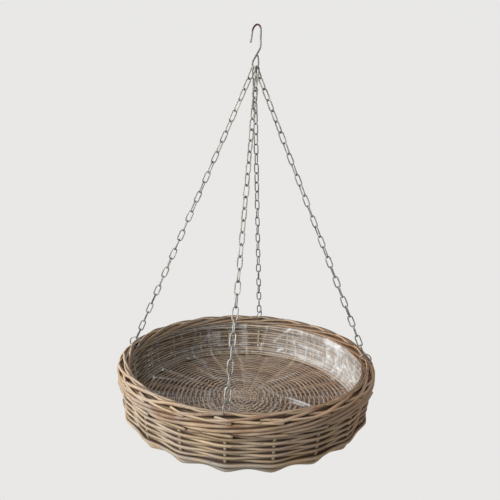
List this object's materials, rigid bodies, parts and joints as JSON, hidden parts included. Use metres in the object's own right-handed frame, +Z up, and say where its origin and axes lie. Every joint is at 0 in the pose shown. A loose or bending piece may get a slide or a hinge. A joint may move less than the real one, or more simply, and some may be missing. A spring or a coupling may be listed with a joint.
{
  "type": "hanging basket",
  "caption": "Round woven rattan basket with a clear film liner, hung by link chains and wire rings from a wire hook.",
  "frame": {"origin": "the seat of the hook: the inside of its crown, where it hangs on a bracket", "axes": "+Z up; the chains run down to -X (left), +X (right), -Y (front) and +Y (rear)"},
  "size_m": [0.4062, 0.4062, 0.5841],
  "materials": {
    "zinc_wire": "zinc plated, dull grey",
    "rattan_weave": "unpeeled rattan with a thin grey wash",
    "rattan_border": "unpeeled rattan, warmer brown",
    "clear_film": "clear wrinkled film"
  },
  "bodies": {
    "hook": {"hook": "zinc_wire"},
    "basket": {"rim_rod": "rattan_border", "border_roll": "rattan_border", "side_weave": "rattan_weave", "foot_rod_upper": "rattan_weave", "foot_rod_lower": "rattan_weave", "base_weave": "rattan_weave", "liner": "clear_film", "side_stake_01": "rattan_weave", "side_stake_02": "rattan_weave", "side_stake_03": "rattan_weave", "side_stake_04": "rattan_weave", "side_stake_05": "rattan_weave", "side_stake_06": "rattan_weave", "side_stake_07": "rattan_weave", "side_stake_08": "rattan_weave", "side_stake_09": "rattan_weave", "side_stake_10": "rattan_weave", "side_stake_11": "rattan_weave", "side_stake_12": "rattan_weave", "side_stake_13": "rattan_weave", "side_stake_14": "rattan_weave", "side_stake_15": "rattan_weave", "side_stake_16": "rattan_weave", "side_stake_17": "rattan_weave", "side_stake_18": "rattan_weave", "side_stake_19": "rattan_weave", "side_stake_20": "rattan_weave", "base_stick_across_1": "rattan_weave", "base_stick_across_2": "rattan_weave", "base_stick_across_3": "rattan_weave", "base_stick_across_4": "rattan_weave", "base_stick_across_5": "rattan_weave", "base_stick_fore_aft_1": "rattan_weave", "base_stick_fore_aft_2": "rattan_weave", "base_stick_fore_aft_3": "rattan_weave", "base_stick_fore_aft_4": "rattan_weave", "base_stick_fore_aft_5": "rattan_weave"},
    "strand_left": {"top_link_left": "zinc_wire", "chain_left": "zinc_wire", "end_link_left": "zinc_wire"},
    "strand_right": {"top_link_right": "zinc_wire", "chain_right": "zinc_wire", "end_link_right": "zinc_wire"},
    "strand_front": {"top_link_front": "zinc_wire", "chain_front": "zinc_wire", "end_link_front": "zinc_wire"},
    "strand_rear": {"top_link_rear": "zinc_wire", "chain_rear": "zinc_wire", "end_link_rear": "zinc_wire"},
    "ring_left": {"ring_left": "zinc_wire"},
    "ring_right": {"ring_right": "zinc_wire"},
    "ring_front": {"ring_front": "zinc_wire"},
    "ring_rear": {"ring_rear": "zinc_wire"}
  },
  "joints": [
    {"name": "basket_swing", "type": "hinge", "parent": "hook", "child": "basket", "pos_m": [0, 0, -0.0585], "axis": [0.7071, -0.7071, 0], "range_deg": [-40, 40]},
    {"name": "strand_left_swing", "type": "hinge", "parent": "hook", "child": "strand_left", "pos_m": [-0.00307, 0.00307, -0.0585], "axis": [0.7071, -0.7071, 0], "range_deg": [-40, 40]},
    {"name": "strand_right_swing", "type": "hinge", "parent": "hook", "child": "strand_right", "pos_m": [0.00134, -0.00134, -0.0585], "axis": [0.7071, -0.7071, 0], "range_deg": [-40, 40]},
    {"name": "strand_front_swing", "type": "hinge", "parent": "hook", "child": "strand_front", "pos_m": [0.00307, -0.00307, -0.0585], "axis": [0.7071, -0.7071, 0], "range_deg": [-40, 40]},
    {"name": "strand_rear_swing", "type": "hinge", "parent": "hook", "child": "strand_rear", "pos_m": [-0.00134, 0.00134, -0.0585], "axis": [0.7071, -0.7071, 0], "range_deg": [-40, 40]},
    {"name": "ring_left_turn", "type": "hinge", "parent": "basket", "child": "ring_left", "pos_m": [-0.18851, 0, -0.49363], "axis": [0, -1, 0], "continuous": true},
    {"name": "ring_right_turn", "type": "hinge", "parent": "basket", "child": "ring_right", "pos_m": [0.18845, 0, -0.49352], "axis": [0, 1, 0], "continuous": true},
    {"name": "ring_front_turn", "type": "hinge", "parent": "basket", "child": "ring_front", "pos_m": [0, -0.18851, -0.49363], "axis": [0.9272, -0.3444, 0.1473], "continuous": true},
    {"name": "ring_rear_turn", "type": "hinge", "parent": "basket", "child": "ring_rear", "pos_m": [0, 0.18845, -0.49352], "axis": [-0.9063, 0.3881, 0.1672], "continuous": true}
  ],
  "couplings": [
    {"joint": "strand_left_swing", "follows": "basket_swing", "ratio": 1},
    {"joint": "strand_right_swing", "follows": "basket_swing", "ratio": 1},
    {"joint": "strand_front_swing", "follows": "basket_swing", "ratio": 1},
    {"joint": "strand_rear_swing", "follows": "basket_swing", "ratio": 1}
  ]
}
